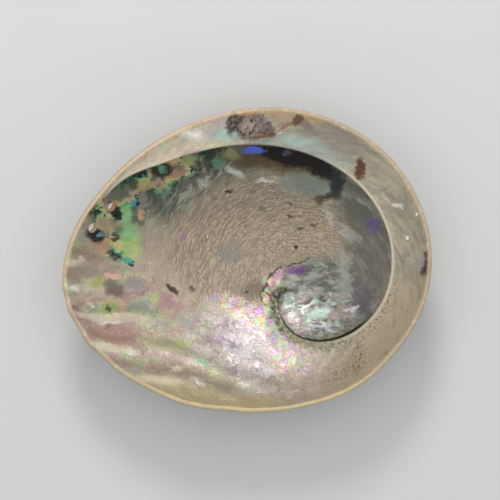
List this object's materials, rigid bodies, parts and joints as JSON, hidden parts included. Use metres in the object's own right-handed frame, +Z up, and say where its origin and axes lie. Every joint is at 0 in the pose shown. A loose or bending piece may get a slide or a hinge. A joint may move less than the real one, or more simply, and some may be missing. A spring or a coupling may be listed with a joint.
{
  "type": "abalone shell",
  "caption": "Empty ear-shaped sea shell lying on its back: a deep oval bowl with a coiled pit, a broad inner shelf along one side and a row of breathing holes near the rim.",
  "frame": {"origin": "middle of the shell's length and width, on the surface that it lies on", "axes": "+X along the length, away from the breathing holes, +Y across the width towards the broad shelf, +Z up out of the bowl"},
  "size_m": [0.1796, 0.1489, 0.0485],
  "materials": {
    "shell": "natural nacre, glossy inside, dull and rough outside"
  },
  "bodies": {
    "root": {"shell": "shell"}
  },
  "joints": []
}
